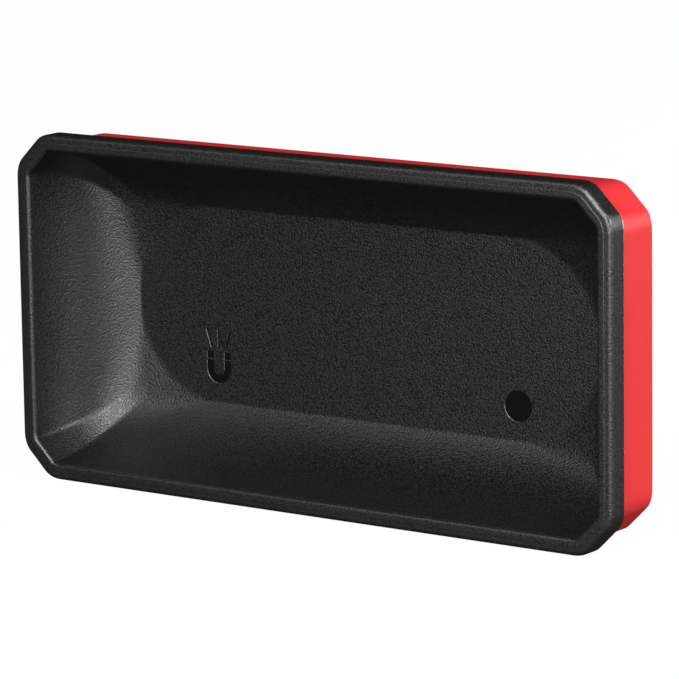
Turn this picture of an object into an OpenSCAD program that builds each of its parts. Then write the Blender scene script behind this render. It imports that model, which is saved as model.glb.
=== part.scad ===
// Magnetic storage bin: a black coved tray screwed into a red rear shell,
// with two magnet rails between them and a rubber mat behind.
// Each piece is drawn lying on its back, rim up, and is then stood up against the wall.

/* [Overall] */
// Width across the rim
bin_w = 254; // [246:1:300]
// Height across the rim
bin_h = 127; // [124:1:150]
// Depth from the rim's face to the wall
bin_d = 50.8; // [49:0.2:60]

/* [Rim] */
// Width of the rim's flat face, from the mouth to the outer edge
rim_land = 4.8; // [4:0.1:6]
// Depth of the rim's outer band
rim_depth = 8; // [6:0.5:10]
// Rounding of the rim's outer edge
rim_edge_r = 2; // [1:0.1:2.5]
// Leg of the cut across each outer corner
corner_leg = 11.8; // [9:0.1:16]
// Rounding where a corner cut meets the sides
corner_r = 9.5; // [4:0.5:11]
// Leg of the cut across each corner of the mouth
mouth_leg = 10.2; // [7:0.1:14]
// Small bevel round the mouth
mouth_bevel = 0.6; // [0.2:0.1:1]

/* [Basin] */
// Depth of the floor below the rim
basin_depth = 37; // [32:0.2:38]
// Radius of the coves that the walls are cut with
cove_r = 43.5; // [42:0.5:48]
// Height of the coves' centres above the rim, which gives the walls their draft
cove_lift = 1.2; // [0:0.1:2]
// How far the cove across each corner runs in, from the mouth to the floor
corner_run = 29.4; // [26:0.2:34]
// Slope on which the floor rises beyond its two round ends
end_slope = 12.5; // [8:0.5:20]
// Thickness of the tray
tray_wall = 1.6; // [1.2:0.1:2.2]

/* [Rear shell] */
// Depth below the rim at which the shell's sides turn in
side_depth = 30.7; // [26:0.1:34]
// How far the long sides come in between there and the back
back_inset = 19; // [15:0.5:21]
// Flat of the back beyond the outer screw posts, at each end
back_edge = 13.8; // [10:0.1:18]
// Leg of the cut across each corner of the back
back_leg = 14; // [8:0.5:20]
// Thickness of the shell's sides
shell_wall = 2; // [1.6:0.1:2.4]
// Thickness of the shell's back
back_wall = 2.6; // [2.4:0.1:3]
// Thickness of the lip that meets the rim
lip_wall = 1; // [0.8:0.1:1.4]
// Rounding of the corners of the shell and the mat
back_corner_r = 5; // [2:0.5:8]
// Rounding inside the shell's corners
inner_r = 1; // [0.5:0.1:1.5]

/* [Back mat] */
// Thickness of the mat
mat_t = 2; // [1.6:0.1:2.4]
// How far the mat stands out of the shell
mat_proud = 1; // [0.6:0.1:1.4]
// Margin of bare shell round the mat
mat_margin = 6; // [4:0.5:10]

/* [Magnet rails] */
// Distance of each rail from the middle
rail_offset = 20; // [19:0.5:22]
// Length of a magnet block
block_len = 48; // [40:1:50]
// Thickness of a magnet block, from pole to pole
block_t = 12; // [10:0.5:13]
// Gap between neighbouring blocks
block_gap = 2.6; // [2:0.1:4]
// Bevel along a block's edges
block_bevel = 0.8; // [0.4:0.1:1.2]
// Thickness of a pole strip
strip_t = 3; // [2:0.25:3.5]
// Height of the pocket wall round a rail
pocket_height = 5; // [3:0.5:6]
// Thickness of pocket walls and ribs
rib_t = 1.6; // [1.2:0.1:2]
// Stiffening ribs along each long side
side_ribs = 5; // [3:1:7]

/* [Screws] */
// Gap from the end of a rail's pocket to the outer screw posts
post_gap = 4.3; // [2:0.1:6]
// Distance of the outer screws from the middle, up and down
screw_y = 18; // [12:1:20]
// Distance of the two inner screws from the middle
inner_screw_x = 44; // [30:1:60]
// Diameter of a screw's head
head_d = 6.4; // [5.6:0.1:7]
// Height of a screw's head
head_h = 2.1; // [1.8:0.1:2.2]
// Core diameter of a screw
core_d = 2.8; // [2.4:0.1:3.2]
// Room between a screw's tip and the tray's floor
tip_gap = 0.9; // [0.5:0.1:1.5]
// Diameter of a boss under the tray
boss_d = 7; // [6.4:0.1:8]

/* [Fits] */
// Clearance round pieces that are dropped into a pocket or recess
seat_gap = 0.2; // [0.1:0.05:0.3]
// Clearance round a screw's core in its boss
thread_gap = 0.05; // [0.02:0.01:0.1]
// Clearance round a screw in the shell
pass_gap = 0.5; // [0.3:0.1:0.8]

/* [Hidden] */
$fn = 96;
arc_steps = 6;
cut = 1;
half_w = bin_w / 2;
half_h = bin_h / 2;
open_w = half_w - rim_land;
open_h = half_h - rim_land;

// Rails, end to end
blocks_per_rail = 3;
rail_len = blocks_per_rail * block_len + (blocks_per_rail - 1) * block_gap;
rail_t = block_t + 2 * strip_t;
block_pitch = block_len + block_gap;
pocket_len = rail_len + 2 * seat_gap;
pocket_t = rail_t + 2 * seat_gap;

// Screw posts, beyond the ends of the rails and between the rails
counterbore_d = head_d + 2 * pass_gap;
post_d = counterbore_d + 2 * rib_t;
screw_x = pocket_len / 2 + rib_t + post_gap + post_d / 2;
screw_places = [
    for (sx = [-1, 1], sy = [-1, 1]) [sx * screw_x, sy * screw_y],
    for (sx = [-1, 1]) [sx * inner_screw_x, 0]
];

// Shell: it stands clear of the tray's coved outside, which draws in below the rim
cove_out = sqrt(cove_r * cove_r - cove_lift * cove_lift);
tray_r = cove_r + tray_wall;
tray_out = sqrt(tray_r * tray_r - (rim_depth + cove_lift) * (rim_depth + cove_lift)) - cove_out;
shell_grow = tray_out + seat_gap + lip_wall;
shell_w = open_w + shell_grow;
shell_h = open_h + shell_grow;
shell_leg = grown_leg(mouth_leg, shell_grow);
full_wall_out = cove_out + shell_grow - shell_wall - seat_gap;
lip_depth = sqrt(tray_r * tray_r - full_wall_out * full_wall_out) - cove_lift + cut;
back_w = screw_x + post_d / 2 + back_edge;
back_h = shell_h - back_inset;
reach = bin_w + bin_h;

// Levels above the wall
z_rim = bin_d;
z_flange = z_rim - rim_depth;
z_lip = z_rim - lip_depth;
z_turn = z_rim - side_depth;
z_floor = z_rim - basin_depth;
z_under = z_floor - tray_wall;
z_back = mat_proud;
z_recess = mat_t;
z_inside = z_back + back_wall;
z_seat = z_recess + head_h + seat_gap;
z_joint = z_seat + shell_wall;

// Coves across the corners, with their centres as high as the other coves' centres
corner_drop = basin_depth + cove_lift;
corner_cove_out = (corner_run * corner_run + corner_drop * corner_drop - cove_lift * cove_lift) / (2 * corner_run);
corner_cove_r = sqrt(corner_cove_out * corner_cove_out + cove_lift * cove_lift);

// Floor of the basin: where the coves reach it, and the round ends
cove_in = sqrt(cove_r * cove_r - (basin_depth + cove_lift) * (basin_depth + cove_lift));
floor_w = open_w - cove_out + cove_in;
floor_h = open_h - cove_out + cove_in;
floor_margin = 0.6;
end_r = floor_h + floor_margin;
end_x = floor_w - floor_h;

// What fits between the tray's underside and the shell
strip_h = z_under - z_inside - seat_gap;
screw_len = z_under - z_seat - tip_gap;

// Distance from the middle to the cut across a corner
function diagonal(w, h, leg) = (w + h - leg) / sqrt(2);

// Leg of a corner cut after all eight sides move out by d
function grown_leg(leg, d) = leg + (2 - sqrt(2)) * d;

// The eight corners of an outline with cut corners, anticlockwise
function eight_corners(w, h, leg) = [
    [w, h - leg], [w - leg, h], [leg - w, h], [-w, h - leg],
    [-w, leg - h], [leg - w, -h], [w - leg, -h], [w, leg - h]
];

// Points of the arc of radius r that rounds corner i of an eight-sided outline
function corner_arc(pts, i, r) =
    let (
        p = pts[i],
        before = pts[(i + 7) % 8] - p,
        after = pts[(i + 1) % 8] - p,
        inward = before / norm(before) + after / norm(after),
        centre = p + inward / norm(inward) * r / cos(22.5),
        mid = atan2(-inward[1], -inward[0])
    )
    [for (k = [0 : arc_steps]) let (a = mid - 22.5 + 45 * k / arc_steps) centre + r * [cos(a), sin(a)]];

// Outline with cut and rounded corners
module eight_sided(w, h, leg, r) {
    pts = eight_corners(w, h, leg);
    polygon([for (i = [0 : 7]) each corner_arc(pts, i, r)]);
}

// How far each wall of the shell comes in towards the back
function back_inset_of(wall) =
    wall == "end" ? shell_w - back_w
    : wall == "long" ? shell_h - back_h
    : diagonal(shell_w, shell_h, shell_leg) - diagonal(back_w, back_h, back_leg);

// One pair of opposite walls: a profile across the bin, drawn out along them
module wall_pair(wall, half, turn) {
    $wall = wall;
    $half = half;
    rotate([90, 0, turn])
        linear_extrude(height = 2 * reach, center = true)
            children();
}

// An eight-sided form whose walls all follow the profile given as its child
module eight_walls(w, h, leg) {
    intersection() {
        wall_pair("end", w, 0) children();
        wall_pair("long", h, 90) children();
        wall_pair("corner", diagonal(w, h, leg), 45) children();
        wall_pair("corner", diagonal(w, h, leg), -45) children();
    }
}

// Profile across the basin: upright at the mouth, then coved down past the floor
module cove_profile(grow) {
    r = $wall == "corner" ? corner_cove_r : cove_r;
    centre = $half - ($wall == "corner" ? corner_cove_out : cove_out);
    low = z_rim + cove_lift - r - grow;
    intersection() {
        union() {
            translate([-centre, low + cut])
                square([2 * centre, z_rim - low]);
            for (side = [-1, 1])
                translate([side * centre, z_rim + cove_lift])
                    circle(r + grow);
        }
        translate([-reach, low - cut])
            square([2 * reach, z_rim + 2 * cut - low]);
    }
}

// Flat floor with full round ends, beyond which it rises on a shallow cone
module floor_dish(grow) {
    low = z_floor - grow;
    high = z_rim + 2 * cut;
    foot = end_r + grow * tan(end_slope / 2);
    translate([-end_x, -reach, low])
        cube([2 * end_x, 2 * reach, high - low]);
    for (side = [-1, 1])
        translate([side * end_x, 0, low])
            cylinder(r1 = foot, r2 = foot + (high - low) / tan(end_slope), h = high - low);
}

// The basin as a solid, with its surface moved out by grow
module basin(grow) {
    intersection() {
        eight_walls(open_w, open_h, mouth_leg) cove_profile(grow);
        floor_dish(grow);
    }
}

// Profile across the rim: a band with rounded outer edges
module rim_profile() {
    translate([-$half, z_flange])
        square([2 * $half, rim_depth - rim_edge_r]);
    translate([rim_edge_r - $half, z_flange])
        square([2 * ($half - rim_edge_r), rim_depth]);
    for (side = [-1, 1])
        translate([side * ($half - rim_edge_r), z_rim - rim_edge_r])
            circle(rim_edge_r);
}

// Profile that bevels the edge of the mouth
module bevel_profile() {
    polygon([
        [-$half, z_rim - mouth_bevel], [$half, z_rim - mouth_bevel],
        [$half + mouth_bevel + cut, z_rim + cut], [-$half - mouth_bevel - cut, z_rim + cut]
    ]);
}

// Profile across the shell: upright sides that turn in towards the back
module shell_profile(wall, low, high) {
    run = z_turn - z_back;
    slope = atan(back_inset_of($wall) / run);
    turn = z_turn + wall * tan(slope / 2);
    side = $half - wall;
    foot = side - (turn - low) * tan(slope);
    polygon([[-side, high], [-side, turn], [-foot, low], [foot, low], [side, turn], [side, high]]);
}

// The shell as a solid, or its hollow when wall is the thickness of the sides
module shell_solid(wall, low, high) {
    leg = grown_leg(shell_leg, -wall);
    intersection() {
        eight_walls(shell_w, shell_h, shell_leg) shell_profile(wall, low, high);
        translate([0, 0, low])
            linear_extrude(high - low)
                eight_sided(shell_w - wall, shell_h - wall, leg, wall > 0 ? inner_r : back_corner_r);
    }
}

// Places something at each screw
module at_screws() {
    for (place = screw_places)
        translate(place)
            children();
}

// Places something at the two rails
module at_rails() {
    for (side = [-1, 1])
        translate([0, side * rail_offset, 0])
            children();
}

// Stands a piece up, its back to the wall
module stood_up() {
    rotate([90, 0, 0]) children();
}

module inner_tray() {
    color("#242527")
        stood_up()
            difference() {
                union() {
                    intersection() {
                        eight_walls(half_w, half_h, corner_leg) rim_profile();
                        translate([0, 0, z_flange - cut])
                            linear_extrude(rim_depth + 2 * cut)
                                eight_sided(half_w, half_h, corner_leg, corner_r);
                    }
                    intersection() {
                        basin(tray_wall);
                        translate([-reach, -reach, 0])
                            cube([2 * reach, 2 * reach, z_flange + cut]);
                    }
                    at_screws()
                        translate([0, 0, z_joint])
                            cylinder(d = boss_d, h = z_floor - z_joint - tray_wall / 2);
                }
                basin(0);
                eight_walls(open_w, open_h, mouth_leg) bevel_profile();
                at_screws()
                    translate([0, 0, z_joint - cut])
                        cylinder(d = core_d + 2 * thread_gap, h = z_under - z_joint + cut);
            }
}

// Pocket wall round one rail, with the fins that part its blocks
module rail_pocket() {
    translate([-pocket_len / 2 - rib_t, -pocket_t / 2 - rib_t, z_inside - back_wall / 4])
        difference() {
            cube([pocket_len + 2 * rib_t, pocket_t + 2 * rib_t, pocket_height + back_wall / 4]);
            translate([rib_t, rib_t, -cut])
                cube([pocket_len, pocket_t, pocket_height + back_wall + cut]);
        }
    fin_t = block_gap - 2 * seat_gap;
    fin_w = block_t - 2 * seat_gap;
    for (i = [1 : blocks_per_rail - 1])
        translate([i * block_pitch - rail_len / 2 - block_gap / 2, 0, z_inside])
            translate([-fin_t / 2, -fin_w / 2, -back_wall / 4])
                cube([fin_t, fin_w, pocket_height + back_wall / 4]);
}

// Ribs from the rail pockets out to the sloping long sides
module shell_ribs() {
    near = rail_offset + pocket_t / 2 + rib_t / 2;
    pitch = pocket_len / (side_ribs - 1);
    intersection() {
        for (i = [0 : side_ribs - 1], side = [-1, 1])
            translate([i * pitch - pocket_len / 2, side * (near + half_h / 2), 0])
                translate([-rib_t / 2, -half_h / 2, z_inside - back_wall / 4])
                    cube([rib_t, half_h, pocket_height + back_wall / 4]);
        shell_solid(shell_wall / 2, z_back + back_wall / 2, z_flange);
    }
}

module rear_shell() {
    color("#d8232a")
        stood_up()
            difference() {
                union() {
                    difference() {
                        shell_solid(0, z_back, z_flange);
                        shell_solid(shell_wall, z_inside, z_flange + cut);
                        translate([0, 0, z_lip])
                            linear_extrude(z_flange + cut - z_lip)
                                eight_sided(
                                    shell_w - lip_wall, shell_h - lip_wall,
                                    grown_leg(shell_leg, -lip_wall), inner_r
                                );
                    }
                    at_rails() rail_pocket();
                    shell_ribs();
                    at_screws()
                        translate([0, 0, z_inside - back_wall / 4])
                            cylinder(d = post_d, h = z_joint - z_inside + back_wall / 4);
                }
                translate([0, 0, z_back - cut])
                    linear_extrude(z_recess - z_back + cut)
                        mat_outline(seat_gap);
                at_screws() {
                    translate([0, 0, z_recess - cut])
                        cylinder(d = counterbore_d, h = z_seat - z_recess + cut);
                    translate([0, 0, z_recess])
                        cylinder(d = core_d + 2 * pass_gap, h = z_joint - z_recess + cut);
                }
            }
}

// Outline of the mat, or of its recess when grown by a clearance
module mat_outline(grow) {
    inset = mat_margin - grow;
    eight_sided(back_w - inset, back_h - inset, grown_leg(back_leg, -inset), back_corner_r);
}

module back_mat() {
    color("#1b1b1c")
        stood_up()
            difference() {
                linear_extrude(mat_t)
                    mat_outline(0);
                at_screws()
                    translate([0, 0, -cut])
                        cylinder(d = counterbore_d, h = mat_t + 2 * cut);
            }
}

// Steel strip i, counted from the bottom: two to each rail
module pole_strip(i) {
    rail = i <= 2 ? -1 : 1;
    side = i % 2 == 1 ? -1 : 1;
    y = rail * rail_offset + side * (block_t + strip_t) / 2;
    color("#9a9da1")
        stood_up()
            translate([-rail_len / 2, y - strip_t / 2, z_inside])
                cube([rail_len, strip_t, strip_h]);
}

// Ferrite block i, counted along the lower rail and then along the upper one
module magnet_block(i) {
    rail = i <= blocks_per_rail ? -1 : 1;
    place = (i - 1) % blocks_per_rail;
    half_t = block_t / 2;
    b = block_bevel;
    color("#3b3b3e")
        stood_up()
            translate([place * block_pitch - rail_len / 2, rail * rail_offset, z_inside])
                rotate([90, 0, 90])
                    linear_extrude(block_len)
                        polygon([
                            [b - half_t, 0], [half_t - b, 0], [half_t, b], [half_t, strip_h - b],
                            [half_t - b, strip_h], [b - half_t, strip_h], [-half_t, strip_h - b], [-half_t, b]
                        ]);
}

// Pan-head screws, heads in the back of the shell
module case_screws() {
    color("#b9bcc0")
        stood_up()
            at_screws()
                translate([0, 0, z_seat]) {
                    translate([0, 0, -head_h])
                        cylinder(d = head_d, h = head_h);
                    cylinder(d = core_d, h = screw_len);
                }
}

inner_tray();
rear_shell();
back_mat();
case_screws();
for (i = [1 : 4])
    pole_strip(i);
for (i = [1 : 2 * blocks_per_rail])
    magnet_block(i);
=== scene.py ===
import math

import bmesh
import bpy
from bmesh.types import BMEdge, BMFace, BMVert
from mathutils import Matrix, Vector


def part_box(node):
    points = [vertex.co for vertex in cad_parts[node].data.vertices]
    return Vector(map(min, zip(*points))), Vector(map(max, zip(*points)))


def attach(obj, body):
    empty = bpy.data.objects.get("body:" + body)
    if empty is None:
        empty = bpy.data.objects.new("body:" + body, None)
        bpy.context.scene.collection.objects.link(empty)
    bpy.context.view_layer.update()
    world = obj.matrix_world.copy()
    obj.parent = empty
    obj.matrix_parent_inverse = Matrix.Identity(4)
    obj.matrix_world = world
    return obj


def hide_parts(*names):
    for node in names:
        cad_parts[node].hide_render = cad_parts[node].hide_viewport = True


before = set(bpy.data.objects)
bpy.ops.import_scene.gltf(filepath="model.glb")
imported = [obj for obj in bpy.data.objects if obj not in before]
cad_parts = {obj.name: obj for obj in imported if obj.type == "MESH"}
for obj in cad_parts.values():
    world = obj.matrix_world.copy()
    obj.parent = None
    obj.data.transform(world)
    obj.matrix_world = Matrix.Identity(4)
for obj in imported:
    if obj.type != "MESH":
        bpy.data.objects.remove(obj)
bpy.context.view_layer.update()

# Inner tray: the black basin and its rim, one injection moulding in black plastic with a pebbled grain.
# Each wall is a cove; the coves meet in mitres at the cut corners and run into a floor with round ends.
# It drops into the rear shell, where six screws from behind draw it down.
mm = 0.001
tray_low, tray_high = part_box("inner_tray")
rim_w = tray_high.x
rim_h = tray_high.z
rim_y = tray_low.y
rim_cut = 11.8 * mm
rim_depth = 8 * mm
rim_edge_r = 1.8 * mm
rim_back_r = 0.5 * mm
land_w = 4.8 * mm
land_step = 0.15 * mm
land_step_run = 1.5 * land_step
land_step_from_edge = 3 * mm
mouth_cut = 8.65 * mm
mouth_r = 1.2 * mm
basin_depth = 37 * mm
tray_wall = 1.6 * mm

# The coves' axes lie a lift in front of the rim. A dish rises from the floor's ends into the coves.
# A blend is the length over which a crease between two surfaces is rounded off.
cove_r = 44.7 * mm
cove_lift = 1.2 * mm
corner_run = 28.8 * mm
floor_margin = 0.2 * mm
end_slope = math.radians(11.5)
dish_rise = 4.6 * mm
floor_fillet_h = 0.25 * mm
corner_blend = 3.2 * mm
mouth_blend = 1.2 * mm
crease_blend = 0.8 * mm
dish_blend = 0.6 * mm
dish_blend_per_rise = 3

# Each quarter of a ring turns through these degrees in so many steps, with the finest at the cut corner.
quarter_turns = ((33, 15), (24, 48), (33, 15))
straight_cuts = 24
fillet_steps = 4
dish_steps = 14
cove_steps = 22
mouth_steps = 6
land_step_shares = (0, 0.5, 1)
rim_edge_steps = 7
rim_back_steps = 3
outside_steps = 14

mouth_w = rim_w - land_w - mouth_r
mouth_h = rim_h - land_w - mouth_r
cove_out = math.sqrt(cove_r ** 2 - cove_lift ** 2)
cove_drop = basin_depth + cove_lift
cove_in = math.sqrt(cove_r ** 2 - cove_drop ** 2)
corner_cove_out = (corner_run ** 2 + cove_drop ** 2 - cove_lift ** 2) / (2 * corner_run)
corner_cove_r = math.hypot(corner_cove_out, cove_lift)
floor_h = mouth_h - cove_out + cove_in
end_r = floor_h + floor_margin
end_x = mouth_w - mouth_h
floor_y = rim_y + basin_depth
under_y = floor_y + tray_wall
edge_top = rim_y + land_step
rim_back = rim_y + rim_depth
cut_per_inset = 2 - math.sqrt(2)

# The tray's first finish is the basin's. These are the places of the two others.
rim_finish = 1
polish_finish = 2


def only(kind, items):
    """The items of one kind among what an operator made."""
    return [item for item in items if isinstance(item, kind)]


def shares(steps):
    """Even shares of a run, from the first step to the whole."""
    return [step / steps for step in range(1, steps + 1)]


def arc_steps(steps):
    """Sine and cosine along a quarter round, after its first point."""
    for share in shares(steps):
        angle = share * math.pi / 2
        yield math.sin(angle), math.cos(angle)


def cove_depths(radius, low, high, steps):
    """Depths that divide a cove's curve evenly between two depths, after the first."""
    start = math.asin((low + cove_lift) / radius)
    turn = math.asin((high + cove_lift) / radius) - start
    return [radius * math.sin(start + turn * share) - cove_lift for share in shares(steps)]


def soft_min(a, b, blend):
    """The lesser of two lengths, rounded off where they come within blend of each other."""
    near = max(blend - abs(a - b), 0)
    return min(a, b) - near * near / (4 * blend)


def ray_of(vert):
    """Where a point's ray leaves the middle line of the bin, and the ray's direction."""
    start = max(-end_x, min(end_x, vert.co.x))
    return start, Vector((vert.co.x - start, 0, vert.co.z)).normalized()


def ring_of_rays(bm, y):
    """A closed ring with round ends: close points where the corners will be, wider ones elsewhere."""
    tip = bm.verts.new((end_x, y, -end_r))
    for turn, steps in quarter_turns * 2:
        arc = bmesh.ops.spin(
            bm, geom=[tip], cent=(end_x, y, 0), axis=(0, -1, 0), angle=math.radians(turn), steps=steps
        )
        tip = only(BMVert, arc["geom_last"])[0]
    bmesh.ops.mirror(bm, geom=bm.verts[:] + bm.edges[:], axis="X", merge_dist=-1)
    tips = [vert for vert in bm.verts if len(vert.link_edges) == 1]
    straights = []
    for level in (-1, 1):
        pair = [vert for vert in tips if vert.co.z * level > 0]
        straights.append(bm.edges.new(pair))
    bmesh.ops.subdivide_edges(bm, edges=straights, cuts=straight_cuts)
    return bm.edges[:]


def place_ring(ring, reach, y):
    """Puts each point of a ring where reach says along its ray, at depth y."""
    for vert in {vert for edge in ring for vert in edge.verts}:
        start, out = ray_of(vert)
        vert.co = Vector((start, y, 0)) + out * reach(start, out)


def drawn_on(bm, edges):
    """Draws a wall on from some edges, and returns its new points, its far edges and its faces."""
    made = bmesh.ops.extrude_edge_only(bm, edges=edges)["geom"]
    points = set(only(BMVert, made))
    far_edges = [edge for edge in only(BMEdge, made) if points.issuperset(edge.verts)]
    return points, far_edges, only(BMFace, made)


def next_ring(bm, ring, reach, y):
    """Draws the wall on from a ring to the next one, and returns that."""
    ring = drawn_on(bm, ring)[1]
    place_ring(ring, reach, y)
    return ring


def outline(half_w, half_h, cut, blend):
    """How far a ray runs to an outline with cut corners, rounded by blend where the sides meet."""
    least = 1e-6

    def reach(start, out):
        slant = (half_w + half_h - cut - abs(start)) / (abs(out.x) + abs(out.z))
        side = (half_w - abs(start)) / max(abs(out.x), least)
        level = half_h / max(abs(out.z), least)
        return soft_min(soft_min(side, slant, blend), level, blend)
    return reach


def inset_outline(half_w, half_h, cut, inset, blend):
    """The same outline with all eight sides moved in by inset."""
    return outline(half_w - inset, half_h - inset, cut - cut_per_inset * inset, blend)


def rim_outline(inset):
    """The rim's own outline, moved in by inset."""
    return inset_outline(rim_w, rim_h, rim_cut, inset, corner_blend)


def basin(depth, grow=0):
    """How far a ray runs to the basin's wall at a depth below the rim, or to the tray's outside."""
    down = depth + cove_lift
    inset = cove_out - math.sqrt((cove_r + grow) ** 2 - down ** 2)
    corner_inset = corner_cove_out - math.sqrt((corner_cove_r + grow) ** 2 - down ** 2)
    cut = mouth_cut - 2 * inset + math.sqrt(2) * corner_inset
    walls = outline(mouth_w - inset, mouth_h - inset, cut, crease_blend)
    rise = basin_depth - depth
    dish = end_r + (rise + grow / math.cos(end_slope)) / math.tan(end_slope)
    blend = dish_blend + dish_blend_per_rise * max(rise, 0)
    return lambda start, out: soft_min(walls(start, out), dish, blend)


def floor_fillet(share):
    """How far a ray runs to a point of the curve from the floor, share 0, up to the wall, share 1."""
    step = 0.05 * mm
    wall = basin(basin_depth - floor_fillet_h)
    above = basin(basin_depth - floor_fillet_h - step)

    def reach(start, out):
        top = wall(start, out)
        corner = top - (above(start, out) - top) / step * floor_fillet_h
        foot = corner - math.hypot(top - corner, floor_fillet_h)
        return (1 - share) ** 2 * foot + 2 * share * (1 - share) * corner + share ** 2 * top
    return reach


def smooth_all(bm):
    """Shades all the faces so far as one smooth surface."""
    for face in bm.faces:
        face.smooth = True


tray = bmesh.new()
floor_ring = ring_of_rays(tray, floor_y)
place_ring(floor_ring, floor_fillet(0), floor_y)
ring = floor_ring
for share in shares(fillet_steps):
    ring = next_ring(tray, ring, floor_fillet(share), floor_y - share ** 2 * floor_fillet_h)
for share in shares(dish_steps):
    depth = basin_depth - floor_fillet_h - (dish_rise - floor_fillet_h) * share
    ring = next_ring(tray, ring, basin(depth), rim_y + depth)
for depth in cove_depths(cove_r, basin_depth - dish_rise, mouth_r, cove_steps):
    ring = next_ring(tray, ring, basin(depth), rim_y + depth)
basin_faces = set(tray.faces)
for sine, cosine in arc_steps(mouth_steps):
    reach = inset_outline(mouth_w, mouth_h, mouth_cut, -mouth_r * (1 - cosine), mouth_blend)
    ring = next_ring(tray, ring, reach, rim_y + mouth_r * (1 - sine))
for share in land_step_shares:
    reach = rim_outline(land_step_from_edge + land_step_run * (1 - share))
    ring = next_ring(tray, ring, reach, rim_y + land_step * share ** 2)
ring = next_ring(tray, ring, rim_outline(rim_edge_r), edge_top)
for sine, cosine in arc_steps(rim_edge_steps):
    reach = rim_outline(rim_edge_r * (1 - sine))
    ring = next_ring(tray, ring, reach, edge_top + rim_edge_r * (1 - cosine))
ring = next_ring(tray, ring, rim_outline(0), rim_back - rim_back_r)
for sine, cosine in arc_steps(rim_back_steps):
    reach = rim_outline(rim_back_r * (1 - cosine))
    ring = next_ring(tray, ring, reach, rim_back - rim_back_r * (1 - sine))
for face in tray.faces:
    if face not in basin_faces:
        face.material_index = rim_finish
outside_depths = cove_depths(cove_r + tray_wall, rim_depth, basin_depth + tray_wall, outside_steps)
for depth in [rim_depth] + outside_depths:
    ring = next_ring(tray, ring, basin(depth, tray_wall), rim_y + depth)
under_edges = list(ring)
smooth_all(tray)

# Screw bosses: six round pegs of the same black plastic, moulded under the tray's floor.
# Each has a blind hole, in which a case screw cuts its own thread.
boss_r = 3.5 * mm
boss_hole_r = 1.45 * mm
boss_end = tray_high.y
boss_hole_skin = 0.1 * mm
boss_hole_end = under_y + boss_hole_skin
boss_profile = ((boss_r, boss_end), (boss_hole_r, boss_end), (boss_hole_r, boss_hole_end))
end_screws_x = 86 * mm
end_screws_z = 18 * mm
middle_screws_x = 44 * mm
screw_places = [(side * end_screws_x, level * end_screws_z) for side in (-1, 1) for level in (-1, 1)]
screw_places += [(side * middle_screws_x, 0) for side in (-1, 1)]
circle_points = 48


def along_depth(x, y, z):
    """A place on the bin, turned so that a flat shape made there faces along the bin's depth."""
    return Matrix.Translation((x, y, z)) @ Matrix.Rotation(math.pi / 2, 4, "X")


def circle_ring(bm, x, y, z, radius):
    """A ring of edges that faces along the bin's depth."""
    made = bmesh.ops.create_circle(
        bm, cap_ends=False, segments=circle_points, radius=radius, matrix=along_depth(x, y, z)
    )
    return list({edge for vert in made["verts"] for edge in vert.link_edges})


def turned(bm, ring, x, z, profile):
    """Draws a round wall on from a ring through pairs of radius and depth, and returns its last ring."""
    for radius, y in profile:
        points, ring = drawn_on(bm, ring)[:2]
        for vert in points:
            out = Vector((vert.co.x - x, 0, vert.co.z - z)).normalized()
            vert.co = Vector((x, y, z)) + out * radius
    return ring


def flat_fill(bm, edges):
    """A flat face inside a ring, with a hole for each further ring."""
    made = bmesh.ops.triangle_fill(bm, use_beauty=True, use_dissolve=False, edges=edges)
    for face in only(BMFace, made["geom"]):
        face.smooth = False


for x, z in screw_places:
    ring = circle_ring(tray, x, under_y, z, boss_r)
    under_edges += ring
    bmesh.ops.contextual_create(tray, geom=turned(tray, ring, x, z, boss_profile))
flat_fill(tray, under_edges)

# Floor signs: a horseshoe magnet with three rays at the left, and a plain disc at the right.
# Both are sunk into the tray's floor by the mould, with a sloping edge and a polished bottom.
sign_edge_w = 0.25 * mm
sign_edge_h = 0.16 * mm
sign_wall_run = 0.06 * mm
sign_depth = 0.4 * mm
magnet_x = -64.2 * mm
magnet_z = -23.55 * mm
magnet_outer_r = 5.55 * mm
magnet_inner_r = 2.2 * mm
magnet_shoulder_z = -20.35 * mm
bow_steps = 28
pole_gap = 0.15 * mm
pole_top_z = -17.2 * mm
ray_width = 1.1 * mm
ray_feet_z = -16.0 * mm
ray_tops_z = -9.2 * mm
ray_feet_x = 3.1 * mm
ray_tops_x = 5.3 * mm
disc_x = 65.6 * mm
disc_z = -23.45 * mm
disc_r = 5.75 * mm
disc_points = 72


def strip_across(bm, x_from, x_to, z):
    """A short edge on the floor, the start of a sign's strip."""
    return [bm.edges.new((bm.verts.new((x_from, floor_y, z)), bm.verts.new((x_to, floor_y, z))))]


def strip_on(bm, edge, move):
    """Draws a strip on by a move, and returns its new end and its faces."""
    points, end, faces = drawn_on(bm, edge)
    bmesh.ops.translate(bm, verts=list(points), vec=move)
    return end, faces


def horseshoe(bm):
    """The magnet's bow with both legs, then its two pole tips, each as a list of faces."""
    leg = Vector((0, 0, magnet_z - magnet_shoulder_z))
    start = strip_across(bm, magnet_x - magnet_outer_r, magnet_x - magnet_inner_r, magnet_shoulder_z)
    end = strip_on(bm, start, leg)[0]
    bow = bmesh.ops.spin(
        bm, geom=end, cent=(magnet_x, floor_y, magnet_z), axis=(0, -1, 0), angle=math.pi, steps=bow_steps
    )
    strip_on(bm, only(BMEdge, bow["geom_last"]), -leg)
    regions = [bm.faces[:]]
    for side in (-1, 1):
        outer = magnet_x + side * magnet_outer_r
        inner = magnet_x + side * magnet_inner_r
        start = strip_across(bm, outer, inner, magnet_shoulder_z + pole_gap)
        regions.append(strip_on(bm, start, (0, 0, pole_top_z - magnet_shoulder_z - pole_gap))[1])
    return regions


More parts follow.
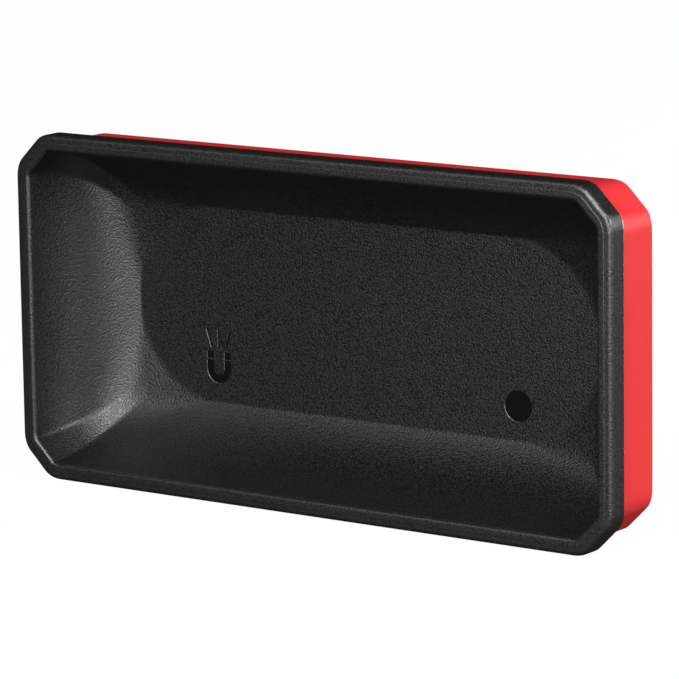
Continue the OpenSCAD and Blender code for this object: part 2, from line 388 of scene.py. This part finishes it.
signs = bmesh.new()
sign_regions = horseshoe(signs)
for side in (-1, 0, 1):
    x = magnet_x + side * ray_feet_x
    start = strip_across(signs, x - ray_width / 2, x + ray_width / 2, ray_feet_z)
    lean = side * (ray_tops_x - ray_feet_x)
    sign_regions.append(strip_on(signs, start, (lean, 0, ray_tops_z - ray_feet_z))[1])
disc = bmesh.ops.create_circle(
    signs, cap_ends=True, segments=disc_points, radius=disc_r, matrix=along_depth(disc_x, floor_y, disc_z)
)
sign_regions.append(list(disc["verts"][0].link_faces))
for face in signs.faces:
    if face.normal.y > 0:
        face.normal_flip()
for region in sign_regions:
    bmesh.ops.inset_region(
        signs, faces=region, use_boundary=True, use_even_offset=True,
        thickness=sign_edge_w, depth=-sign_edge_h
    )
    sides = bmesh.ops.inset_region(
        signs, faces=region, use_boundary=True, use_even_offset=True,
        thickness=sign_wall_run, depth=sign_edge_h - sign_depth
    )
    for face in region + sides["faces"]:
        face.material_index = polish_finish
sign_mesh = bpy.data.meshes.new("signs")
signs.to_mesh(sign_mesh)
signs.free()
tray.from_mesh(sign_mesh)
bpy.data.meshes.remove(sign_mesh)
sign_edges = [edge for edge in tray.edges if edge.is_boundary and edge not in set(floor_ring)]
flat_fill(tray, floor_ring + sign_edges)

# Tray finish: the basin and the rim have a spark-eroded grain, which is shallower on the rim, and the rim
# is painted paler, which is painted light that brightens its face.
# The bottoms of the signs are polished. Pebble sizes are in millimetres.
tray_pebble = 0.7
polish_dark = (0.003, 0.003, 0.0032)
polish_light = (0.005, 0.005, 0.0053)


def fresh_material(name):
    """A new material, its node tree and its Principled shader."""
    material = bpy.data.materials.new(name)
    material.use_nodes = True
    tree = material.node_tree
    return material, tree, tree.nodes["Principled BSDF"]


def new_node(tree, kind, inputs=(), **settings):
    """A node with its settings, and its inputs either linked to sockets or set to values."""
    node = tree.nodes.new(kind)
    for name, value in settings.items():
        setattr(node, name, value)
    for key, value in dict(inputs).items():
        if isinstance(value, bpy.types.NodeSocket):
            tree.links.new(value, node.inputs[key])
        else:
            node.inputs[key].default_value = value
    return node


def math_of(tree, operation, *values):
    """A math node's result from sockets or numbers."""
    return new_node(tree, "ShaderNodeMath", dict(enumerate(values)), operation=operation).outputs[0]


def object_place(tree):
    """The place of a surface point in the piece's own coordinates."""
    return new_node(tree, "ShaderNodeTexCoord").outputs["Object"]


def noise(tree, place, scale, detail, roughness=0.5):
    """Noise over a place, mostly between 0.3 and 0.7."""
    inputs = {"Vector": place, "Scale": scale, "Detail": detail, "Roughness": roughness}
    return new_node(tree, "ShaderNodeTexNoise", inputs).outputs[0]


def moulded_grain_group():
    """Spark-eroded grain of a moulding: small raised pebbles of uneven height, and a slow mottle."""
    group = bpy.data.node_groups.new("moulded grain", "ShaderNodeTree")
    group.interface.new_socket("Pebble Size", in_out="INPUT", socket_type="NodeSocketFloat")
    for name in ("Height", "Mottle"):
        group.interface.new_socket(name, in_out="OUTPUT", socket_type="NodeSocketFloat")
    given = new_node(group, "NodeGroupInput").outputs["Pebble Size"]
    place = object_place(group)
    scale = math_of(group, "DIVIDE", 1 / mm, given)
    pebbles = new_node(
        group, "ShaderNodeTexVoronoi", {"Vector": place, "Scale": scale, "Smoothness": 0.5},
        feature="SMOOTH_F1"
    )
    uneven = noise(group, place, scale, detail=2.0, roughness=0.6)
    mottle = noise(group, place, scale=60.0, detail=2.0)
    raised = math_of(group, "SUBTRACT", uneven, pebbles.outputs["Distance"])
    height = new_node(group, "ShaderNodeMapRange", {"Value": raised, "From Min": -0.5, "From Max": 0.5})
    new_node(group, "NodeGroupOutput", {"Height": height.outputs[0], "Mottle": mottle})
    return group


moulded_grain = moulded_grain_group()


def grain_of(tree, pebble_size):
    """The outputs of the moulded grain at a pebble size."""
    return new_node(tree, "ShaderNodeGroup", {"Pebble Size": pebble_size}, node_tree=moulded_grain).outputs


def colour_by(tree, shader, factor, dark, light):
    """Runs a finish's colour from dark to light by a factor. Sockets 6, 7 and 2 are the mix's colours."""
    ends = {"Factor": factor, 6: (*dark, 1), 7: (*light, 1)}
    mix = new_node(tree, "ShaderNodeMix", ends, data_type="RGBA")
    tree.links.new(mix.outputs[2], shader.inputs["Base Color"])


def roughness_by(tree, shader, factor, smooth, rough):
    """Runs a finish's roughness from smooth to rough over the range where noise mostly lies."""
    ends = {"Value": factor, "From Min": 0.3, "From Max": 0.7, "To Min": smooth, "To Max": rough}
    tree.links.new(new_node(tree, "ShaderNodeMapRange", ends).outputs[0], shader.inputs["Roughness"])


def relief_by(tree, shader, height, strength, distance):
    """Raises a finish by a height."""
    bump = new_node(tree, "ShaderNodeBump", {"Height": height, "Strength": strength, "Distance": distance})
    tree.links.new(bump.outputs[0], shader.inputs["Normal"])


def grained_black(name, dark, light, smooth, rough, relief):
    """Black plastic with painted shade in its grain: the colour runs from dark valleys to lighter pebble
    tops, the roughness from smooth valleys to rough tops, and relief raises it.
    """
    material, tree, shader = fresh_material(name)
    height = grain_of(tree, tray_pebble)["Height"]
    # Painted shade: the colour darkens into the grain's valleys, where shade would fall.
    colour_by(tree, shader, height, (dark,) * 3, (light,) * 3)
    roughness_by(tree, shader, height, smooth, rough)
    relief_by(tree, shader, height, strength=1.0, distance=relief)
    shader.inputs["Specular IOR Level"].default_value = 1.0
    return material


def polished_black():
    """The same plastic where the mould is polished."""
    material, tree, shader = fresh_material("polished black plastic")
    mottle = grain_of(tree, tray_pebble)["Mottle"]
    colour_by(tree, shader, mottle, polish_dark, polish_light)
    roughness_by(tree, shader, mottle, smooth=0.16, rough=0.24)
    shader.inputs["Specular IOR Level"].default_value = 0.4
    return material


def finished_piece(bm, name, *materials):
    """Closes a mesh, points its faces outwards and makes it an object at the origin."""
    weld_gap = 0.002 * mm
    bmesh.ops.remove_doubles(bm, verts=bm.verts[:], dist=weld_gap)
    bmesh.ops.recalc_face_normals(bm, faces=bm.faces[:])
    mesh = bpy.data.meshes.new(name)
    bm.to_mesh(mesh)
    bm.free()
    for material in materials:
        mesh.materials.append(material)
    piece = bpy.data.objects.new(name, mesh)
    bpy.context.scene.collection.objects.link(piece)
    weighted = piece.modifiers.new("even flats", "WEIGHTED_NORMAL")
    weighted.keep_sharp = True
    return piece


# The dark end of each colour range is painted shade in the grain's valleys.
basin_plastic = grained_black(
    "black moulded plastic", dark=0.0006, light=0.0038, smooth=0.33, rough=0.49, relief=0.1 * mm
)
# The rim's colour is painted paler than the basin's: painted light that brightens the rim's face. Its
# grain relief is shallower.
rim_plastic_painted_paler = grained_black(
    "black plastic with finer grain, painted paler", dark=0.006, light=0.014, smooth=0.31, rough=0.42, relief=0.05 * mm
)
tray_piece = finished_piece(tray, "tray", basin_plastic, rim_plastic_painted_paler, polished_black())
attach(tray_piece, "root")
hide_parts("inner_tray")

# Rear shell: the red back of the case, a thin-walled moulding in satin red plastic.
# Its upright sides butt against the rim; behind them it slopes in to a smaller flat back.
# The back has a shallow bed for the mat, and six posts with sunk seats for the screw heads.
shell_low, shell_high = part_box("rear_shell")
mat_low, mat_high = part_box("back_mat")
shell_w = shell_high.x
shell_h = shell_high.z
shell_top = shell_low.y
shell_back = shell_high.y
shell_cut = 11.3 * mm
shell_wall = 2 * mm
slope_wall = 3.2 * mm
lip_wall = 1 * mm
lip_y = -37.9 * mm
turn_y = -20.1 * mm
turn_r = 1.6 * mm
round_steps = 5
back_w = 105.1 * mm
back_h = 41.57 * mm
back_cut = 14 * mm
back_r = 1.2 * mm
fine_edge_run = 0.124 * mm
fine_edge_steps = 2
inside_y = -3.6 * mm
mat_w = mat_high.x
mat_h = mat_high.z
mat_cut = 10.5 * mm
bed_gap = 0.2 * mm
bed_y = mat_low.y
post_r = 5.3 * mm
post_end = -6.3 * mm
screw_pass_r = 1.9 * mm
head_seat_r = 3.7 * mm
head_seat_y = -4.3 * mm
shell_pebble = 0.5
shell_red_dark = (0.735, 0.034, 0.037)
shell_red_light = (0.795, 0.039, 0.042)

# A bevel across a turn of 45 degrees runs this far for each unit of its radius.
run_per_radius = math.tan(math.radians(22.5))
inside_share = (inside_y - shell_back) / (turn_y - shell_back)
inside_w = back_w + (shell_w - back_w) * inside_share - slope_wall
inside_h = back_h + (shell_h - back_h) * inside_share - slope_wall
inside_out = outline(inside_w, inside_h, back_cut, corner_blend)
wall_in = inset_outline(shell_w, shell_h, shell_cut, shell_wall, crease_blend)
lip_in = inset_outline(shell_w, shell_h, shell_cut, lip_wall, crease_blend)
side_out = outline(shell_w, shell_h, shell_cut, corner_blend)
back_out = outline(back_w, back_h, back_cut, corner_blend)
bed_out = outline(mat_w + bed_gap, mat_h + bed_gap, mat_cut, corner_blend)
inside_profile = (
    (wall_in, turn_y), (wall_in, lip_y), (lip_in, lip_y), (lip_in, shell_top), (side_out, shell_top)
)
post_profile = (
    (post_r, post_end), (screw_pass_r, post_end), (screw_pass_r, head_seat_y),
    (head_seat_r, head_seat_y), (head_seat_r, bed_y)
)

shell = bmesh.new()
ring = ring_of_rays(shell, inside_y)
place_ring(ring, inside_out, inside_y)
inside_edges = list(ring)
for reach, y in inside_profile:
    ring = next_ring(shell, ring, reach, y)
lip_edges = ring
turn_edges = next_ring(shell, lip_edges, side_out, turn_y)
back_edges = next_ring(shell, turn_edges, back_out, shell_back)
bed_edges = next_ring(shell, back_edges, bed_out, shell_back)
bed_floor_edges = next_ring(shell, bed_edges, bed_out, bed_y)
for x, z in screw_places:
    ring = circle_ring(shell, x, inside_y, z, post_r)
    inside_edges += ring
    bed_floor_edges += turned(shell, ring, x, z, post_profile)
flat_fill(shell, inside_edges)
flat_fill(shell, bed_floor_edges)
smooth_all(shell)
bmesh.ops.recalc_face_normals(shell, faces=shell.faces[:])
rounded_edges = (
    (turn_edges, turn_r * run_per_radius, round_steps), (back_edges, back_r * run_per_radius, round_steps),
    (bed_edges, fine_edge_run, fine_edge_steps), (lip_edges, fine_edge_run, fine_edge_steps)
)
for edges, run, segments in rounded_edges:
    bmesh.ops.bevel(
        shell, geom=edges, offset=run, affect="EDGES", segments=segments, profile=0.5, material=-1
    )


def shell_plastic():
    """Satin red plastic with a faint grain."""
    material, tree, shader = fresh_material("red moulded plastic")
    grain = grain_of(tree, shell_pebble)
    colour_by(tree, shader, grain["Mottle"], shell_red_dark, shell_red_light)
    roughness_by(tree, shader, grain["Mottle"], smooth=0.36, rough=0.44)
    relief_by(tree, shader, grain["Height"], strength=0.08, distance=0.1 * mm)
    return material


shell_piece = finished_piece(shell, "shell", shell_plastic())
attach(shell_piece, "root")
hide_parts("rear_shell")

# Magnet rails: three ferrite blocks end to end between two steel strips, one rail above the other.
# They stand in pockets on the shell's back, closed in by the tray, and pull through the thin wall.
strip_names = [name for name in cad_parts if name.startswith("pole_strip")]
block_names = [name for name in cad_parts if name.startswith("magnet_block")]
steel_dark = (0.36, 0.37, 0.39)
steel_light = (0.5, 0.51, 0.53)
ferrite_dark = (0.035, 0.035, 0.038)
ferrite_light = (0.065, 0.065, 0.07)


def pole_steel():
    """Mild steel with fine scratches along the strip."""
    material, tree, shader = fresh_material("sheared mild steel")
    place = object_place(tree)
    along = new_node(tree, "ShaderNodeMapping", {"Vector": place, "Scale": (40.0, 1800.0, 1800.0)})
    scratches = noise(tree, along.outputs[0], scale=1.0, detail=4.0)
    patches = noise(tree, place, scale=90.0, detail=3.0)
    colour_by(tree, shader, patches, steel_dark, steel_light)
    roughness_by(tree, shader, scratches, smooth=0.28, rough=0.46)
    relief_by(tree, shader, scratches, strength=0.2, distance=0.1 * mm)
    shader.inputs["Metallic"].default_value = 1
    return material


def ferrite():
    """Dark grey sintered ferrite with a fine grit."""
    material, tree, shader = fresh_material("sintered ferrite")
    grit = noise(tree, object_place(tree), scale=1500.0, detail=5.0)
    colour_by(tree, shader, grit, ferrite_dark, ferrite_light)
    roughness_by(tree, shader, grit, smooth=0.55, rough=0.8)
    relief_by(tree, shader, grit, strength=0.4, distance=0.2 * mm)
    return material


for names, finish in ((strip_names, pole_steel()), (block_names, ferrite())):
    for name in names:
        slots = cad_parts[name].data.materials
        slots.clear()
        slots.append(finish)

# Rear mat: a die-cut sheet of black rubber, bonded into the bed on the shell's back.
# It grips the steel it hangs on; six holes let a driver through to the screws.
mat_edge_r = 0.5 * mm
mat_edge_steps = 4
mat_hole_r = 3.7 * mm
mat_hole_edge_r = 0.25 * mm
mat_hole_steps = 3
mat_face = mat_high.y
mat_pebble = 0.6
mat_dark = (0.018, 0.018, 0.018)
mat_light = (0.03, 0.03, 0.029)

mat_out = outline(mat_w, mat_h, mat_cut, corner_blend)
mat_hole_profile = [(mat_hole_r, mat_face - mat_hole_edge_r)]
for sine, cosine in arc_steps(mat_hole_steps):
    rounded = (mat_hole_r + mat_hole_edge_r * (1 - cosine), mat_face - mat_hole_edge_r * (1 - sine))
    mat_hole_profile.append(rounded)

mat = bmesh.new()
ring = ring_of_rays(mat, mat_low.y)
place_ring(ring, mat_out, mat_low.y)
front_edges = list(ring)
ring = next_ring(mat, ring, mat_out, mat_face - mat_edge_r)
for sine, cosine in arc_steps(mat_edge_steps):
    reach = inset_outline(mat_w, mat_h, mat_cut, mat_edge_r * (1 - cosine), corner_blend)
    ring = next_ring(mat, ring, reach, mat_face - mat_edge_r * (1 - sine))
face_edges = list(ring)
for x, z in screw_places:
    ring = circle_ring(mat, x, mat_low.y, z, mat_hole_r)
    front_edges += ring
    face_edges += turned(mat, ring, x, z, mat_hole_profile)
smooth_all(mat)
flat_fill(mat, front_edges)
flat_fill(mat, face_edges)


def mat_rubber():
    """Matt black sheet rubber with a fine grain."""
    material, tree, shader = fresh_material("black sheet rubber")
    grain = grain_of(tree, mat_pebble)
    colour_by(tree, shader, grain["Mottle"], mat_dark, mat_light)
    roughness_by(tree, shader, grain["Mottle"], smooth=0.72, rough=0.85)
    relief_by(tree, shader, grain["Height"], strength=0.4, distance=0.2 * mm)
    return material


mat_piece = finished_piece(mat, "mat", mat_rubber())
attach(mat_piece, "root")
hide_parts("back_mat")

# Case screws: six zinc-plated pan-head screws that cut their own thread in the tray's bosses.
# Each head sits on its seat in the shell, sunk below the mat, with a cross recess for the driver.
screw_low, screw_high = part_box("case_screws")
head_r = 3.2 * mm
head_dome_r = 1.9 * mm
head_dome_steps = 6
head_rear = screw_high.y
screw_tip = screw_low.y
tip_r = 0.55 * mm
thread_r = 1.4 * mm
thread_root_r = 1.1 * mm
thread_pitch = 1.0 * mm
last_flank = 0.4 * thread_pitch
recess_width = 1.0 * mm
recess_arm = 1.75 * mm
recess_depth = 1.3 * mm
recess_taper = 0.6
zinc_dark = (0.5, 0.51, 0.53)
zinc_light = (0.64, 0.65, 0.66)

# One turn of the thread: each radius, and its share of the pitch from the turn's start.
thread_turn = ((thread_r, 0.15), (thread_root_r, 0.45), (thread_root_r, 0.7), (thread_r, 1))
screw_profile = []
for sine, cosine in arc_steps(head_dome_steps):
    screw_profile.append((head_r - head_dome_r * (1 - sine), head_rear - head_dome_r * (1 - cosine)))
screw_profile += [(head_r, head_seat_y), (thread_r, head_seat_y)]
thread_y = head_seat_y
while thread_y - thread_pitch > screw_tip + thread_pitch:
    screw_profile += [(radius, thread_y - share * thread_pitch) for radius, share in thread_turn]
    thread_y -= thread_pitch
screw_profile += [(thread_root_r, thread_y - last_flank), (tip_r, screw_tip)]


def cross_recess(bm, x, z):
    """A tapered cross sunk into a screw's head; returns the edges round its top."""
    grid = bmesh.ops.create_grid(
        bm, x_segments=3, y_segments=3, size=recess_arm, matrix=along_depth(x, head_rear, z)
    )["verts"]
    for vert in grid:
        for axis, middle in ((0, x), (2, z)):
            off = vert.co[axis] - middle
            if abs(off) < recess_arm / 2:
                vert.co[axis] = middle + math.copysign(recess_width / 2, off)
    cells = list({face for vert in grid for face in vert.link_faces})
    corners = []
    for face in cells:
        off = face.calc_center_median() - Vector((x, head_rear, z))
        if min(abs(off.x), abs(off.z)) > recess_width / 2:
            corners.append(face)
    bmesh.ops.delete(bm, geom=corners, context="FACES")
    cross = [face for face in cells if face.is_valid]
    top_edges = [edge for face in cross for edge in face.edges if edge.is_boundary]
    sunk = bmesh.ops.extrude_face_region(bm, geom=cross)["geom"]
    bmesh.ops.delete(bm, geom=cross, context="FACES")
    for vert in only(BMVert, sunk):
        vert.co.x = x + (vert.co.x - x) * recess_taper
        vert.co.y = head_rear - recess_depth
        vert.co.z = z + (vert.co.z - z) * recess_taper
    return top_edges


screws = bmesh.new()
for x, z in screw_places:
    head_edges = circle_ring(screws, x, head_rear, z, head_r - head_dome_r)
    bmesh.ops.contextual_create(screws, geom=turned(screws, head_edges, x, z, screw_profile))
    flat_fill(screws, head_edges + cross_recess(screws, x, z))


def screw_zinc():
    """Zinc plating with a slight bloom."""
    material, tree, shader = fresh_material("zinc-plated steel")
    bloom = noise(tree, object_place(tree), scale=700.0, detail=4.0)
    colour_by(tree, shader, bloom, zinc_dark, zinc_light)
    roughness_by(tree, shader, bloom, smooth=0.22, rough=0.36)
    shader.inputs["Metallic"].default_value = 1
    return material


screws_piece = finished_piece(screws, "screws", screw_zinc())
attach(screws_piece, "root")
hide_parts("case_screws")

# Plain stage: a pale floor under the bin, soft lamps round it and the camera.
# The floor and the world look white to the camera, and give the bin itself next to no light.
# The soft lamps light the bin from the front, the right and behind.
floor_r = 6.0
floor_points = 96
floor_grey = (0.012, 0.012, 0.012, 1)
white = (1, 1, 1, 1)
floor_to_view = 0.97
floor_in_gloss = 0.003
world_to_view = 0.99
world_in_gloss = 0.0
world_fill = 0.003


def pale_to_view(tree, level, glossy_level):
    """A strength for rays that come straight from the camera or through glass, and one for reflections."""
    path = new_node(tree, "ShaderNodeLightPath").outputs
    seen = math_of(tree, "MAXIMUM", path["Is Camera Ray"], path["Is Transmission Ray"])
    direct = math_of(tree, "MULTIPLY", seen, level)
    return math_of(tree, "MULTIPLY_ADD", path["Is Glossy Ray"], glossy_level, direct)


floor_bm = bmesh.new()
floor_place = Matrix.Translation((0, 0, -rim_h))
bmesh.ops.create_circle(
    floor_bm, cap_ends=True, segments=floor_points, radius=floor_r, matrix=floor_place
)
floor_mesh = bpy.data.meshes.new("floor")
floor_bm.to_mesh(floor_mesh)
floor_bm.free()
stage_floor = bpy.data.objects.new("floor", floor_mesh)
bpy.context.scene.collection.objects.link(stage_floor)
floor_material, tree, shader = fresh_material("pale floor")
shader.inputs["Base Color"].default_value = floor_grey
shader.inputs["Roughness"].default_value = 0.9
shader.inputs["Emission Color"].default_value = white
tree.links.new(pale_to_view(tree, floor_to_view, floor_in_gloss), shader.inputs["Emission Strength"])
floor_mesh.materials.append(floor_material)

world = bpy.data.worlds.new("studio")
bpy.context.scene.world = world
world.use_nodes = True
tree = world.node_tree
background = tree.nodes["Background"]
background.inputs["Color"].default_value = white
world_strength = math_of(tree, "ADD", pale_to_view(tree, world_to_view, world_in_gloss), world_fill)
tree.links.new(world_strength, background.inputs["Strength"])

bin_middle = Vector((0, rim_y, 0))
lamp_distance = 1.6


def soft_lamp(name, azimuth, elevation, width, height, power):
    """A soft box that looks at the bin from an azimuth to the right of straight ahead and an elevation."""
    lamp = bpy.data.lights.new(name, "AREA")
    lamp.shape = "RECTANGLE"
    lamp.size = width
    lamp.size_y = height
    lamp.energy = power
    holder = bpy.data.objects.new(name, lamp)
    bpy.context.scene.collection.objects.link(holder)
    turn = Matrix.Rotation(math.radians(azimuth), 4, "Z")
    tilt = Matrix.Rotation(math.radians(90 - elevation), 4, "X")
    away = Matrix.Translation((0, 0, lamp_distance))
    holder.matrix_world = Matrix.Translation(bin_middle) @ turn @ tilt @ away


soft_lamp("low front", azimuth=5, elevation=7, width=1.16, height=0.33, power=5.2)
soft_lamp("low right", azimuth=38, elevation=3, width=0.86, height=0.24, power=7.6)
soft_lamp("front", azimuth=10, elevation=27, width=0.7, height=0.6, power=13.2)
soft_lamp("high front", azimuth=30, elevation=46, width=0.5, height=0.28, power=6.8)
soft_lamp("high left", azimuth=-30, elevation=39, width=0.7, height=0.45, power=2)
soft_lamp("high right", azimuth=65, elevation=44, width=0.82, height=0.28, power=2.7)
soft_lamp("side", azimuth=84, elevation=19, width=0.24, height=0.8, power=14)
soft_lamp("rear side", azimuth=130, elevation=16, width=0.5, height=0.8, power=8.3)
soft_lamp("back", azimuth=180, elevation=0, width=0.24, height=0.12, power=8)

eye = Vector((884.93, -1261.08, 285.47)) * mm
camera_azimuth = math.radians(35.665)
camera_elevation = math.radians(10.799)
camera_roll = math.radians(-0.84)
camera_data = bpy.data.cameras.new("camera")
camera_data.sensor_width = 36
camera_data.lens = 232.94
camera_data.clip_end = 50
camera = bpy.data.objects.new("camera", camera_data)
bpy.context.scene.collection.objects.link(camera)
camera.matrix_world = (
    Matrix.Translation(eye)
    @ Matrix.Rotation(camera_azimuth, 4, "Z")
    @ Matrix.Rotation(math.pi / 2 - camera_elevation, 4, "X")
    @ Matrix.Rotation(camera_roll, 4, "Z")
)
bpy.context.scene.camera = camera
bpy.context.scene.view_settings.view_transform = "Standard"

bpy.context.view_layer.update()
